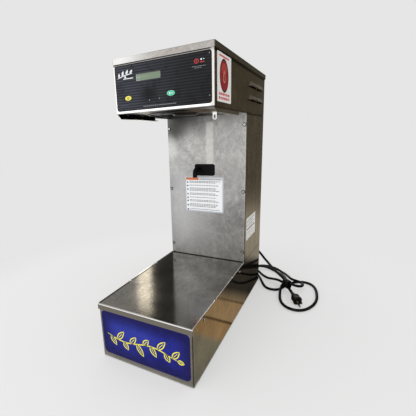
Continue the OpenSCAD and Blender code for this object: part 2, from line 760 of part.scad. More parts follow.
module heater_relay() color("black") place() {
  block([inner - 24, 440, 200], [inner, 485, 258]);
  for (y = [448, 477], z = [208, 250])
    translate([inner - 23.9, y, z]) rotate([0, -90, 0]) cylinder(3, 3, 3);
}

// Power cord
module strain_relief() color("black") place()
  translate([relief_at[0], body_d, relief_at[1]]) to_back() {
    cylinder(2.5, 12, 12);
    cylinder(relief_len, 8, cord_d / 2 + 1);
    translate([0, 0, -7]) cylinder(7.1, 8, 8);
  }

// Point at t along a smooth curve through the route, where t counts its points
function route_at(p, t) = let (
    i = min(floor(t), len(p) - 2), u = t - i,
    a = i > 0 ? p[i - 1] : 2 * p[0] - p[1], b = p[i], c = p[i + 1],
    d = i < len(p) - 2 ? p[i + 2] : 2 * c - b)
  (2 * b + (c - a) * u + (2 * a - 5 * b + 4 * c - d) * u * u
    + (3 * b - a - 3 * c + d) * u * u * u) / 2;

function along(p, count) = [for (i = [0:count]) route_at(p, i * (len(p) - 1) / count)];

function unit(v) = v / norm(v);

// Ring of points round the curve, square to it
function ring_at(q, i, r) = let (
    v = unit(q[min(i + 1, len(q) - 1)] - q[max(i - 1, 0)]),
    side = unit(cross(v, [0, 0, 1])), up = cross(side, v))
  [for (k = [0:cord_sides - 1]) let (a = (k + 0.5) * 360 / cord_sides)
    q[i] + r * (cos(a) * side + sin(a) * up)];

// Tube of flat sides between two of the points, whose corners stand just outside the true round
module tube(q, first, last_at) {
  n = cord_sides;
  r = cord_d / 2 / cos(90 / n);
  last = (last_at - first) * n;
  polyhedron(
    [for (i = [first:last_at]) each ring_at(q, i, r)],
    [for (i = [0:last_at - first - 1], k = [0:n - 1], half = [0, 1]) let (a = i * n, b = (k + 1) % n)
        half == 0 ? [a + k, a + n + k, a + b] : [a + b, a + n + k, a + n + b],
      for (k = [1:n - 2]) [0, k, k + 1],
      for (k = [1:n - 2]) [last, last + k + 1, last + k]]);
}

module on_floor() translate([0, front_y, 0]) children();

hank_points = along(hank_route, hank_rings);
cord_points = [each along(cord_route, cord_rings), for (i = [1:hank_rings]) hank_points[i]];

module power_cord() color("black") on_floor() tube(cord_points, 0, cord_rings);

module cord_hank() color("black") on_floor() tube(cord_points, cord_rings, cord_rings + hank_rings);

module cord_tie() color("black") on_floor() translate(tie_at) rotate([0, 0, tie_turn])
  rotate([90, 0, 90]) translate([0, 0, -tie_len / 2]) linear_extrude(tie_len) difference() {
    rounded(20, 30, 8);
    rounded(16, 26.2, 6);
  }

module at_plug() on_floor() translate(hank_route[len(hank_route) - 1])
  rotate([0, 0, plug_turn]) rotate([90, 0, 90]) children();

module plug_body() color("black") at_plug() difference() {
  union() {
    cylinder(relief_taper, cord_d / 2 + 0.8, 7);
    translate([0, 0, relief_taper]) linear_extrude(plug_len)
      rounded(plug_size[0], plug_size[1], plug_size[2]);
  }
  for (x = [-6.35, 6.35])
    translate([x - 0.8, -1.2, relief_taper + plug_len - 10]) cube([1.6, 6.4, 11]);
  translate([0, -8, relief_taper + plug_len - 10]) cylinder(11, 2.45, 2.45);
}

module plug_pins() color("goldenrod") at_plug() translate([0, 0, relief_taper + plug_len - 9.8]) {
  for (x = [-6.35, 6.35]) translate([x - 0.75, -1.15, 0]) cube([1.5, 6.3, 27]);
  translate([0, -8, 0]) cylinder(28, 2.4, 2.4);
  translate([0, -8, 28]) sphere(2.4);
}

// Least clear gap between parts of the hank that aren't neighbours along it
fine = along(hank_route, 272);
echo(hank_gap = min([for (i = [0:len(fine) - 1], j = [i + 6:1:len(fine) - 1])
  norm(fine[i] - fine[j])]) - cord_d);

base_shell();
base_top_plate();
base_front_panel();
front_plate();
feet();
column_shell();
column_front_panel();
column_screws();
casing_screws();
dilution_spout();
instruction_plate();
data_plate();
head_shell();
head_front_panel();
control_overlay();
lcd_window();
lcd_module();
control_board();
on_off_key();
brew_key();
key_switches();
status_lights();
top_cover();
brew_deck();
left_rail();
right_rail();
rail_tab();
rail_rivets();
spray_head();
spray_fitting();
side_plate();
rear_panel();
water_inlet_fitting();
power_switch();
power_switch_lever();
water_tank();
tank_lid();
tank_gasket();
tank_brackets();
heating_element();
temperature_probe();
level_probe();
limit_thermostat();
limit_reset_button();
inlet_valve();
brew_valve();
dilution_valve();
valve_coils();
inlet_plunger();
brew_plunger();
dilution_plunger();
water_hoses();
terminal_block();
heater_relay();
strain_relief();
power_cord();
cord_hank();
cord_tie();
plug_body();
plug_pins();
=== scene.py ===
"""Iced tea maker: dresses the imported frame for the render."""
import math

import bmesh
import bpy
from mathutils import Matrix, Vector


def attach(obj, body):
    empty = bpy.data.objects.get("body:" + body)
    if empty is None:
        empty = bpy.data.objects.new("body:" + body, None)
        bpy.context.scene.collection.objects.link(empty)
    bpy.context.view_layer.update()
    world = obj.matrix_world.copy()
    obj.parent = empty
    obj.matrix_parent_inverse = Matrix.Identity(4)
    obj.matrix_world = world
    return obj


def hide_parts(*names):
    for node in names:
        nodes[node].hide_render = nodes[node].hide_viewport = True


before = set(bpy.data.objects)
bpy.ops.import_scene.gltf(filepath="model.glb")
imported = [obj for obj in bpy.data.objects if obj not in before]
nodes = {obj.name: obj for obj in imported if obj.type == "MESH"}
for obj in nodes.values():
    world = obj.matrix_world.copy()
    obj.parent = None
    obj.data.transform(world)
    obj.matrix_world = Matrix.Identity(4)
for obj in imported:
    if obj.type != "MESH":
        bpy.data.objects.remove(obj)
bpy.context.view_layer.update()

BODY = "machine"
MM = 0.001
# Where part.scad's own y and z start: the base's front and its bottom sheet
FRONT_Y = -0.305
FOOT = 0.006


def at(x, y, z):
    """A point given in part.scad's millimetres: y from the base's front, z from its bottom."""
    return Vector((x * MM, y * MM + FRONT_Y, z * MM + FOOT))


def floor_point(p):
    """A point of the cord's route, whose height counts from the floor."""
    return Vector((p[0] * MM, p[1] * MM + FRONT_Y, p[2] * MM))


def tone(red, green, blue):
    """A colour given as it looks on screen, 0 to 255, turned into the shader's own."""
    return tuple(((v / 255 + 0.055) / 1.055) ** 2.4 if v > 10 else v / 255 / 12.92
                 for v in (red, green, blue))


def link(name, data):
    """A new object in the scene."""
    made = bpy.data.objects.new(name, data)
    bpy.context.scene.collection.objects.link(made)
    return made


# ---------------------------------------------------------------- camera
CAM_AT = Vector((0.366755, -0.801779, 0.531475))
CAM_RIGHT = Vector((0.87748174, 0.47792475, -0.04017134))
CAM_UP = Vector((-0.08372049, 0.23510691, 0.96835718))
CAM_FORWARD = Vector((-0.47224642, 0.84635257, -0.24631411))
LENS, SENSOR = 26.387, 36
SHIFT_X, SHIFT_Y = 0.0865, 0.0200

camera_data = bpy.data.cameras.new("camera")
camera_data.sensor_width = SENSOR
camera_data.lens = LENS
camera_data.shift_x = SHIFT_X
camera_data.shift_y = SHIFT_Y
camera_data.clip_start = 0.01
camera = link("camera", camera_data)
turn = Matrix((CAM_RIGHT, CAM_UP, -CAM_FORWARD)).transposed().to_4x4()
camera.matrix_world = Matrix.Translation(CAM_AT) @ turn
bpy.context.scene.camera = camera

# ---------------------------------------------------------------- cord
CORD_D = 0.009
STEPS = 8
# Points of part.scad's cord_route and hank_route, with heights from the floor
ROUTE = [
    [70, 621, 122], [70.8, 635, 121.2], [76, 650.5, 115.5], [86, 661, 105], [97.5, 664.8, 93.5],
    [109.5, 664.5, 81.5], [121.5, 661.5, 70.5], [132.5, 655.5, 61], [143, 647.5, 55],
    [153, 636.5, 51], [169, 616.5, 46.5], [191, 590, 42], [214, 563, 39],
]
HANK = [
    [214, 563, 39], [225, 548.5, 37], [238, 535.5, 34.6], [254, 530.5, 31], [270, 535.5, 26],
    [281.3, 548.5, 22], [284.3, 566, 19], [278.8, 583, 17], [265, 594.5, 16], [249, 602, 15.3],
    [236, 614, 14.8], [225.5, 632, 13], [214, 653, 9.5], [199, 674, 6], [178, 696, 5],
    [150, 712, 5], [122, 713, 5], [100, 700, 5], [93, 677, 5], [98, 653, 5], [110, 630, 5],
    [123.5, 606, 5], [136, 583, 5], [147, 560, 5], [156.5, 541, 5], [167.5, 526, 5],
    [183, 518, 5], [200.5, 520, 5], [213.5, 531, 5], [221.8, 548, 5], [229, 567, 5],
    [239, 586, 5], [256, 606, 5], [273, 616.5, 5], [291, 618, 5], [307.5, 610, 5], [320, 592, 5],
    [328, 566, 5], [332, 538, 5], [333.5, 508, 5], [330, 478, 5], [321, 450, 5], [306, 426, 5],
    [285, 413, 5], [260, 415.5, 5], [240, 433, 5], [228, 459, 5], [222, 487, 8],
    [219, 512, 12.5], [219, 536, 15], [222, 560, 15.2], [224.5, 585, 15], [220, 611, 13],
    [207, 637, 9.5], [187, 661, 6.5], [164, 681, 6], [141, 691.5, 8], [119, 689.5, 11],
    [104, 677.5, 13.8], [99, 660, 15], [104, 642.5, 15.4], [118, 627.5, 14.6], [138, 611, 9.5],
    [159, 595, 9.5], [180, 580, 16], [200, 564, 23], [220, 548.5, 25], [228.5, 540.5, 24.2],
    [237, 532, 22], [245.5, 522.5, 18], [253, 511.5, 14.9], [261, 496, 14],
]


def smooth(points):
    """Points along a smooth curve through the given ones."""
    out = []
    last = len(points) - 1
    for i in range(last):
        b, c = points[i], points[i + 1]
        a = points[i - 1] if i else 2 * b - c
        d = points[i + 2] if i + 2 <= last else 2 * c - b
        for k in range(STEPS):
            u = k / STEPS
            out.append((2 * b + (c - a) * u + (2 * a - 5 * b + 4 * c - d) * u * u
                        + (3 * b - a - 3 * c + d) * u ** 3) / 2)
    out.append(points[last].copy())
    return out


cord_line = smooth([floor_point(p) for p in ROUTE])
cord_line += smooth([floor_point(p) for p in HANK])[1:]
cord_curve = bpy.data.curves.new("mains_cord", "CURVE")
cord_curve.dimensions = "3D"
cord_curve.bevel_depth = 1
cord_curve.bevel_resolution = 5
cord_curve.use_fill_caps = True
spline = cord_curve.splines.new("POLY")
spline.points.add(len(cord_line) - 1)
for point, place in zip(spline.points, cord_line):
    point.co = (*place, 1)
    point.radius = CORD_D / 2
spline.use_smooth = True
cord = link("mains_cord", cord_curve)
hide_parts("power_cord", "cord_hank")
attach(cord, BODY)


# ---------------------------------------------------------------- shader nodes
def put(tree, socket, value):
    """Links a socket's value, or sets a number or a colour."""
    if isinstance(value, bpy.types.NodeSocket):
        tree.links.new(value, socket)
    elif isinstance(value, tuple):
        socket.default_value = (*value, 1)
    else:
        socket.default_value = value


def new_node(tree, kind, **settings):
    made = tree.nodes.new("ShaderNode" + kind)
    for key, value in settings.items():
        setattr(made, key, value)
    return made


def math_node(tree, operation, *values):
    made = new_node(tree, "Math", operation=operation)
    for socket, value in zip(made.inputs, values):
        put(tree, socket, value)
    return made.outputs[0]


def distance(tree, value):
    """How far a point lies from the middle."""
    made = new_node(tree, "VectorMath", operation="LENGTH")
    put(tree, made.inputs[0], value)
    return made.outputs["Value"]


def one_axis(tree, value, name):
    made = new_node(tree, "SeparateXYZ")
    put(tree, made.inputs[0], value)
    return made.outputs[name]


def map_range(tree, value, low, high, falling=False, form="SMOOTHSTEP"):
    """0 to 1 as the value goes from low to high, or 1 to 0 where falling."""
    made = new_node(tree, "MapRange", interpolation_type=form)
    put(tree, made.inputs[0], value)
    made.inputs[1].default_value = low
    made.inputs[2].default_value = high
    made.inputs[3].default_value = 1 if falling else 0
    made.inputs[4].default_value = 0 if falling else 1
    return made.outputs[0]


def color_ramp(tree, value, stops):
    """A ramp through (place, shade) stops, where a shade is a colour or one grey number."""
    made = new_node(tree, "ValToRGB")
    put(tree, made.inputs[0], value)
    bits = made.color_ramp.elements
    while len(bits) < len(stops):
        bits.new(0.5)
    for bit, (place, shade) in zip(bits, stops):
        bit.position = place
        bit.color = (*shade, 1) if isinstance(shade, tuple) else (shade, shade, shade, 1)
    return made.outputs[0]


class Skin:
    """A procedural material, built up from sockets."""

    def __init__(self, name, tint, rough, **sockets):
        self.mat = bpy.data.materials.new(name)
        self.mat.use_nodes = True
        self.tree = self.mat.node_tree
        self.inputs = self.tree.nodes["Principled BSDF"].inputs
        self.inputs["Base Color"].default_value = (*tint, 1)
        self.inputs["Roughness"].default_value = rough
        for key, value in sockets.items():
            self.inputs[key.replace("_", " ")].default_value = value
        self.where = new_node(self.tree, "TexCoord").outputs["Object"]
        self.normal = None

    def noise(self, stretch, detail=3.0, rough=0.5, distortion=0.0, shift=(0, 0, 0)):
        """Noise with the given number of features per metre along each axis."""
        mapping = new_node(self.tree, "Mapping")
        put(self.tree, mapping.inputs["Vector"], self.where)
        mapping.inputs["Scale"].default_value = stretch
        mapping.inputs["Location"].default_value = shift
        tex = new_node(self.tree, "TexNoise")
        put(self.tree, tex.inputs["Vector"], mapping.outputs[0])
        tex.inputs["Scale"].default_value = 1
        tex.inputs["Detail"].default_value = detail
        tex.inputs["Roughness"].default_value = rough
        tex.inputs["Distortion"].default_value = distortion
        return tex.outputs[0]

    def ramp(self, value, *stops):
        return color_ramp(self.tree, value, stops)

    def math(self, operation, *values):
        return math_node(self.tree, operation, *values)

    def mix(self, factor, a, b, blend="MIX"):
        made = new_node(self.tree, "Mix", data_type="RGBA", blend_type=blend)
        for index, value in ((0, factor), (6, a), (7, b)):
            put(self.tree, made.inputs[index], value)
        return made.outputs[2]

    def area(self, soft, **spans):
        """1 inside a box, falling off over soft. An axis without a span has no end."""
        out = None
        for name, (low, high) in spans.items():
            here = one_axis(self.tree, self.where, name)
            mask = self.math("MULTIPLY", map_range(self.tree, here, low - soft, low + soft),
                             map_range(self.tree, here, high - soft, high + soft, falling=True))
            out = mask if out is None else self.math("MULTIPLY", out, mask)
        return out

    def blotch(self, center, size, core):
        """1 within the core's share of an ellipsoid, falling to 0 at its edge."""
        near = new_node(self.tree, "Mapping", vector_type="TEXTURE")
        put(self.tree, near.inputs["Vector"], self.where)
        near.inputs["Location"].default_value = center
        near.inputs["Scale"].default_value = size
        return map_range(self.tree, distance(self.tree, near.outputs[0]), core, 1, falling=True)

    def color(self, value):
        self.shade = value
        put(self.tree, self.inputs["Base Color"], value)

    def rough(self, value):
        put(self.tree, self.inputs["Roughness"], value)

    def bump(self, height, depth, strength):
        made = new_node(self.tree, "Bump")
        put(self.tree, made.inputs["Height"], height)
        made.inputs["Distance"].default_value = depth
        made.inputs["Strength"].default_value = strength
        if self.normal is not None:
            put(self.tree, made.inputs["Normal"], self.normal)
        self.normal = made.outputs[0]
        put(self.tree, self.inputs["Normal"], self.normal)

    def paint(self, mask, tint, share):
        """Lays a share of a tint over what is there, where the mask is 1."""
        self.color(self.mix(self.math("MULTIPLY", mask, share), self.shade, tint))

    def band(self, tint, share, soft, **spans):
        """Paints a box, given as for area()."""
        self.paint(self.area(soft, **spans), tint, share)

    def spot(self, tint, share, center, size, core):
        """Paints an ellipsoid, given as for blotch()."""
        self.paint(self.blotch(center, size, core), tint, share)


def steel(name, tint, grain, rough=0.3, spread=0.12, streak=0.16, blotch=0.12, scratches=0.0,
          swirl=0.0):
    """Stainless sheet whose brushing follows the grain, with smudges and scratches."""
    skin = Skin(name, tint, rough, Metallic=1.0)
    lines = skin.noise(grain, detail=4, rough=0.65)
    broad = skin.noise([g * 0.12 for g in grain], detail=2, shift=(3, 1, 2))
    cloud = skin.noise((9, 9, 9), distortion=1.2)
    shade = tint
    for share, ramp in ((1.0, skin.ramp(lines, (0.3, 1 - streak), (0.7, 1 + streak))),
                        (0.8, skin.ramp(broad, (0.3, 1 - streak), (0.7, 1.0))),
                        (1.0, skin.ramp(cloud, (0.3, 1 - blotch), (0.7, 1 + blotch * 0.4)))):
        shade = skin.mix(share, shade, ramp, "MULTIPLY")
    if scratches:
        hair = skin.noise((700, 60, 60), detail=1, distortion=0.6, shift=(5, 5, 5))
        marks = skin.ramp(hair, (0.62, 0.0), (0.66, 1.0))
        shade = skin.mix(skin.math("MULTIPLY", marks, scratches), shade, (0.9, 0.9, 0.88))
    if swirl:
        curl = skin.noise((26, 26, 26), detail=4, rough=0.7, distortion=3.5, shift=(2, 7, 4))
        curl = skin.ramp(curl, (0.40, 0.70), (0.50, 1.0), (0.60, 1.35))
        shade = skin.mix(swirl, shade, curl, "MULTIPLY")
    skin.color(shade)
    skin.rough(skin.math("MULTIPLY_ADD", cloud, spread, rough - spread / 2))
    skin.bump(lines, 0.00004, 0.35)
    skin.bump(cloud, 0.0006, 0.12)
    return skin


def plain(name, tint, rough, grain=900, dusty=0.10, **sockets):
    """Moulded plastic, rubber or cast metal with a fine skin and light dust."""
    skin = Skin(name, tint, rough, **sockets)
    tiny = skin.noise((grain, grain, grain), detail=2)
    dust = skin.noise((45, 45, 45), detail=4, rough=0.6)
    shade = skin.mix(1.0, tint, skin.ramp(tiny, (0.3, 0.94), (0.7, 1.06)), "MULTIPLY")
    cover = skin.math("MULTIPLY", skin.ramp(dust, (0.55, 0.0), (0.85, 1.0)), dusty)
    skin.color(skin.mix(cover, shade, (0.45, 0.43, 0.40)))
    skin.rough(skin.ramp(dust, (0.3, max(rough - 0.06, 0.02)), (0.8, min(rough + 0.12, 1.0))))
    skin.bump(tiny, 0.00003, 0.4)
    return skin


def dress(skin, *names):
    for name in names:
        made = nodes[name].data.materials
        made.clear()
        made.append(skin.mat)


# ---------------------------------------------------------------- steel
# Painted shade for a gap, a screw's recess, a crevice and elsewhere, and a painted glint
GAP_SHADE = (0.006, 0.005, 0.004)
RECESS_SHADE = (0.02, 0.018, 0.015)
CREVICE_SHADE = (0.05, 0.045, 0.04)
SHADE = (0.10, 0.09, 0.08)
GLINT = (0.90, 0.88, 0.84)
# Middles of the louvres and of the column's screws
LOUVER_Y, LOUVER_Z = (0.1085, 0.1840), (0.6294, 0.6650)
SCREW_X, SCREW_Z = (-0.1204, 0.1204), (0.1816, 0.3715, 0.5620)
COLUMN_Y = 0.077
SIDES = (-1, 1)

# Column's casing: upright brushing, dull above, paler and streaked lower down
# Its brown tint is partly the steel's own and partly a painted reflection of brown surroundings
side_steel = steel("steel_side", (0.40, 0.355, 0.275), (300, 420, 5), rough=0.27, streak=0.30,
                   blotch=0.16)
wear = side_steel.noise((60, 60, 4), detail=4, rough=0.6, shift=(1, 4, 2))
side_steel.paint(side_steel.ramp(wear, (0.52, 0.0), (0.72, 1.0)), (0.62, 0.57, 0.47), 0.45)
# Painted shade along the joints with the head, the column's front and the base
side_steel.band(GAP_SHADE, 0.9, 0.0012, Z=(0.588, 0.60))
side_steel.band(CREVICE_SHADE, 0.7, 0.001, X=(0.12, 0.14), Y=(0.0775, 0.0805))
side_steel.band(GAP_SHADE, 0.85, 0.0009, Z=(0.10, 0.1492))
dress(side_steel, "column_shell")

# Head's casing: painted shade under the cover and at the joints with the front and the column
# Its brown tint is partly the steel's own and partly a painted reflection
head_steel = steel("steel_head", (0.27, 0.232, 0.165), (500, 60, 8), blotch=0.25, swirl=0.45)
head_steel.band(GAP_SHADE, 0.97, 0.0006, Z=(0.6992, 0.7056))
head_steel.band(GAP_SHADE, 0.9, 0.0006, Y=(-0.1612, -0.1578))
head_steel.band(GAP_SHADE, 0.9, 0.0008, Z=(0.57, 0.5845))
# Painted shade in the louvres' slots
for y in LOUVER_Y:
    for z in LOUVER_Z:
        head_steel.band(GAP_SHADE, 0.97, 0.0004, X=(-0.1302, 0.1302), Y=(y - 0.0305, y + 0.0305),
                        Z=(z - 0.0040, z + 0.0006))
dress(head_steel, "head_shell")

# Base: polished lengthways, with painted shade and dark reflection at the back, by the cord
base_steel = steel("steel_base", (0.52, 0.49, 0.43), (40, 5, 420), rough=0.10, spread=0.08,
                   streak=0.08, blotch=0.25, swirl=0.25)
base_steel.band((0.14, 0.125, 0.10), 0.75, 0.07, Y=(0.11, 0.60))
# Painted shade on the bent front corner and along the lower edge
base_steel.band(SHADE, 0.8, 0.0008, Y=(-0.40, -0.3025))
base_steel.band(GAP_SHADE, 0.6, 0.0015, Z=(0.0, 0.0035))
# A painted highlight line beside the corner, and a painted reflection of the floor at its foot
base_steel.band((0.88, 0.86, 0.82), 0.6, 0.0006, Y=(-0.3022, -0.2996), Z=(0.012, 0.20))
base_steel.band(GLINT, 0.6, 0.0025, Y=(-0.3022, -0.2820), Z=(-0.01, 0.0105))
dress(base_steel, "base_shell")

# Base top: a dark tint with a grainy skin, cloudy where things have stood
top_steel = steel("steel_base_top", (0.205, 0.194, 0.175), (500, 30, 40), rough=0.115,
                  spread=0.07, streak=0.10, blotch=0.40, scratches=0.08, swirl=0.45)
top_steel.bump(top_steel.noise((190, 190, 190), detail=2), 0.00009, 0.5)
specks = top_steel.noise((330, 330, 330), detail=1, shift=(8, 1, 3))
top_steel.paint(top_steel.ramp(specks, (0.72, 0.0), (0.76, 1.0)), (0.75, 0.72, 0.66), 0.5)
top_steel.spot((0.20, 0.195, 0.185), 0.6, (0.075, -0.24, 0.148), (0.11, 0.10, 0.05), 0.2)
top_steel.spot((0.20, 0.19, 0.175), 0.55, (0.0, -0.31, 0.148), (0.15, 0.07, 0.05), 0.2)
# Raised side strips: painted shade at the foot and a painted highlight along the edge
for side in SIDES:
    foot = sorted((side * 0.1246, side * 0.1256))
    strip = sorted((side * 0.1257, side * 0.1290))
    top_steel.band(CREVICE_SHADE, 0.85, 0.0004, X=foot, Z=(0.146, 0.1525))
    top_steel.band(GLINT, 0.85, 0.0004, X=strip, Z=(0.1486, 0.156))
# Painted highlight on the front lip's bend, and a lighter tone on its face
top_steel.band((0.60, 0.59, 0.57), 0.85, 0.0009, Y=(-0.308, -0.3030), Z=(0.146, 0.151))
top_steel.band((0.52, 0.50, 0.47), 0.9, 0.0009, Y=(-0.308, -0.3058), Z=(0.10, 0.1452))
# Painted shade at the joint with the column
top_steel.band(GAP_SHADE, 0.85, 0.0010, Y=(0.0735, 0.09))
dress(top_steel, "base_top_plate")

front_steel = steel("steel_front", (0.46, 0.445, 0.42), (12, 300, 800), rough=0.40, streak=0.14)
# Painted shade along the top, under the lip of the base's top
front_steel.band(GAP_SHADE, 0.55, 0.001, Z=(0.1395, 0.146))
dress(front_steel, "base_front_panel")

# Cover: painted shade on the top face, and a brown side lip with painted shade below it
cover_steel = steel("steel_cover", (0.32, 0.30, 0.28), (120, 120, 420), rough=0.34, swirl=0.3)
cover_steel.band((0.22, 0.21, 0.20), 0.75, 0.0006, Z=(0.7164, 0.73))
# The side lip's brown is partly the steel's own and partly a painted reflection
cover_steel.band((0.215, 0.19, 0.14), 0.9, 0.0006, X=(0.1284, 0.135))
cover_steel.band(GAP_SHADE, 0.95, 0.0008, X=(0.1284, 0.135), Z=(0.60, 0.7062))
# A painted highlight at the front lip's left end
cover_steel.spot((0.62, 0.62, 0.61), 0.85, (-0.125, -0.174, 0.712), (0.13, 0.03, 0.05), 0.1)
dress(cover_steel, "top_cover")

# Bezel round the overlay: painted shade in lines under the cover, on the right border and lower
# edge
bezel_steel = steel("steel_bezel", (0.88, 0.87, 0.86), (30, 300, 700), rough=0.34, streak=0.07,
                    blotch=0.08)
bezel_steel.band(GAP_SHADE, 0.95, 0.0007, Z=(0.7026, 0.72))
bezel_steel.band((0.08, 0.075, 0.07), 0.85, 0.0007, Z=(0.6998, 0.7026))
bezel_steel.band((0.42, 0.40, 0.37), 0.75, 0.002, X=(0.119, 0.130))
bezel_steel.band(SHADE, 0.85, 0.0006, Z=(0.58, 0.5956))
dress(bezel_steel, "head_front_panel")

# Column's front: wiped in circles, with painted shade under the head and one paler upright
# streak
panel_steel = steel("steel_column_front", (0.38, 0.375, 0.365), (90, 300, 60), rough=0.38,
                    streak=0.08, blotch=0.30, scratches=0.07, swirl=0.42)


def patch(tint, share, x, z, wide, high, core=0.1):
    """A soft patch on the column's front, by its half width and half height."""
    panel_steel.spot(tint, share, (x, COLUMN_Y, z), (wide, 0.1, high), core)


# Painted shade under the head
patch((0.09, 0.09, 0.085), 0.9, -0.075, 0.592, 0.13, 0.075)
patch((0.04, 0.04, 0.037), 0.85, -0.100, 0.560, 0.055, 0.060)
patch((0.20, 0.20, 0.20), 0.6, -0.115, 0.395, 0.035, 0.045, 0.2)
panel_steel.band((0.62, 0.60, 0.56), 0.45, 0.005, X=(0.004, 0.028), Z=(0.445, 0.575))
# Painted reflection in paler patches towards the left
patch((0.62, 0.62, 0.63), 0.55, -0.055, 0.24, 0.13, 0.13)
patch((0.74, 0.75, 0.75), 0.36, -0.118, 0.495, 0.035, 0.060)
patch((0.66, 0.66, 0.67), 0.42, -0.09, 0.33, 0.08, 0.22)
patch((0.28, 0.27, 0.26), 0.35, 0.085, 0.47, 0.05, 0.16, 0.2)
# Painted shade at the foot, by the base
panel_steel.band(GAP_SHADE, 0.6, 0.0008, Z=(0.14, 0.1515))
# A painted highlight along the right edge
panel_steel.band((0.62, 0.59, 0.54), 0.35, 0.0008, X=(0.1238, 0.13))
# Painted shade round each screw
for x in SCREW_X:
    for z in SCREW_Z:
        panel_steel.spot((0.04, 0.038, 0.035), 0.95, (x, COLUMN_Y, z), (0.0066, 0.02, 0.0066),
                         0.75)
dress(panel_steel, "column_front_panel")

# Underside: painted shade, nearly black at the left and the front, lighter to the right
deck_steel = steel("steel_underside", (0.30, 0.26, 0.21), (40, 200, 40), blotch=0.45, swirl=0.6)
deck_steel.spot((0.005, 0.004, 0.003), 1.0, (-0.11, -0.05, 0.59), (0.20, 0.4, 0.2), 0.5)
deck_steel.band((0.010, 0.008, 0.006), 0.97, 0.006, Y=(-0.17, -0.135))
dress(deck_steel, "brew_deck", "spray_head", "tank_brackets")
rail_steel = steel("steel_rails", (0.46, 0.43, 0.38), (200, 12, 200), streak=0.2)
# Painted shade: the left rail almost black under the head, and a thin line at the right end
rail_steel.band(GAP_SHADE, 1.0, 0.004, X=(-0.14, -0.05))
rail_steel.band(GAP_SHADE, 0.8, 0.0006, X=(0.11, 0.13), Z=(0.5915, 0.596))
dress(rail_steel, "left_rail", "right_rail")

# Screws, with painted shade where they sink into the column and the base, and the slotted tab
screw_steel = steel("steel_screws", (0.70, 0.68, 0.65), (500, 500, 500), rough=0.22)
screw_steel.band(RECESS_SHADE, 0.92, 0.0003, Y=(0.0757, 0.078))
screw_steel.band(RECESS_SHADE, 0.92, 0.0003, X=(-0.1283, 0.1283), Y=(-0.31, 0.30), Z=(-0.01, 0.16))
dress(screw_steel, "column_screws", "casing_screws", "rail_rivets")
tab_steel = steel("steel_tab", (0.70, 0.69, 0.66), (300, 300, 40), rough=0.35, blotch=0.3)
# Painted shade in the tab's slot
tab_steel.band(CREVICE_SHADE, 0.85, 0.0006, X=(0.1182, 0.1230), Z=(0.5698, 0.5782))
dress(tab_steel, "rail_tab")

dress(steel("steel_back", (0.55, 0.54, 0.52), (12, 300, 600), rough=0.36, swirl=0.2),
      "rear_panel")
dress(steel("steel_tank", (0.58, 0.57, 0.55), (300, 300, 40)), "water_tank", "tank_lid",
      "heating_element", "temperature_probe", "level_probe", "inlet_plunger", "brew_plunger",
      "dilution_plunger")
dress(steel("bright_metal", (0.75, 0.75, 0.75), (300, 300, 300), rough=0.14, streak=0.04),
      "power_switch_lever")
dress(steel("plain_brass", (0.60, 0.43, 0.20), (300, 300, 300), rough=0.32), "spray_fitting",
      "water_inlet_fitting")
dress(steel("blade_brass", (0.50, 0.41, 0.29), (400, 400, 400), rough=0.26, blotch=0.4),
      "plug_pins")

# ---------------------------------------------------------------- plastic, rubber and film
black_plastic = plain("black_plastic", (0.005, 0.005, 0.005), 0.26, dusty=0.02,
                      Specular_IOR_Level=0.22)
dress(black_plastic, "power_switch", "heater_relay", "plug_body", "strain_relief",
      "key_switches")
dress(plain("spout_black", (0.004, 0.004, 0.004), 0.5, dusty=0.0, Specular_IOR_Level=0.08),
      "dilution_spout")
black_rubber = plain("black_rubber", (0.006, 0.006, 0.006), 0.5, dusty=0.02,
                     Specular_IOR_Level=0.2)
dress(black_rubber, "feet", "cord_tie")
sheath = plain("cord_sheath", (0.003, 0.003, 0.003), 0.22, grain=1500, dusty=0.01,
               Specular_IOR_Level=0.13)
cord_curve.materials.append(sheath.mat)
dress(plain("grey_film", tone(190, 196, 203), 0.4), "instruction_plate")
dress(plain("white_card", (0.86, 0.86, 0.84), 0.4), "data_plate")
dress(plain("side_card", tone(232, 230, 227), 0.4), "side_plate")
dress(plain("green_board", (0.03, 0.16, 0.07), 0.4), "control_board", "lcd_module")
dress(plain("red_enamel", (0.40, 0.02, 0.015), 0.35), "valve_coils", "limit_reset_button")
dress(plain("brown_insulator", (0.10, 0.05, 0.03), 0.4), "limit_thermostat")
dress(plain("ivory_plastic", (0.72, 0.66, 0.52), 0.4), "inlet_valve", "brew_valve",
      "dilution_valve", "terminal_block")
dress(plain("silicone_hose", (0.70, 0.70, 0.66), 0.4), "water_hoses")
dress(plain("silicone_gasket", (0.30, 0.05, 0.03), 0.5), "tank_gasket")
dress(plain("light_lens", tone(120, 124, 132), 0.25), "status_lights")
dress(plain("yellow_key", tone(232, 222, 70), 0.40, dusty=0.03), "on_off_key")
dress(plain("green_key", tone(64, 190, 150), 0.40, dusty=0.03), "brew_key")

# Display: paler at its left end, darker left of the middle, shaded along its top
glass = plain("lcd_glass", tone(122, 140, 116), 0.25, dusty=0.04)
glass.band(tone(158, 166, 156), 0.8, 0.003, X=(-0.07, -0.052))
glass.band(tone(104, 124, 98), 0.8, 0.012, X=(-0.028, 0.01))
glass.band(tone(60, 66, 58), 0.6, 0.0006, Z=(0.6765, 0.69))
dress(glass, "lcd_window")

